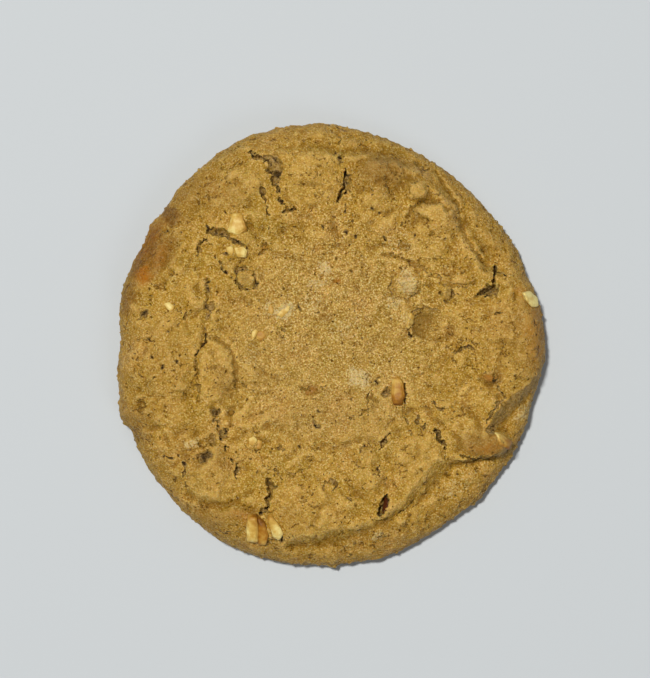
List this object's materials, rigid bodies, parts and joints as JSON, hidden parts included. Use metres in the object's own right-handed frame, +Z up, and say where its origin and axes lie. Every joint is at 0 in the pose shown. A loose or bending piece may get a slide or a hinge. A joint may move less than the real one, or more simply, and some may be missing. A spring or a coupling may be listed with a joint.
{
  "type": "peanut butter cookie",
  "caption": "Round baked peanut butter cookie with a pressed, cracked top, a low skirt along one side and chopped peanuts in the dough.",
  "frame": {"origin": "middle of the flat base, below the centre of the cookie's outline", "axes": "+Z up out of the base, +X towards the cookie's right edge and +Y towards its back edge as the picture shows it from above"},
  "size_m": [0.0854, 0.0883, 0.0124],
  "materials": {
    "baked_dough": "dry baked crust, golden brown, fine crumb with open cracks"
  },
  "bodies": {
    "root": {"cookie": "baked_dough"}
  },
  "joints": []
}
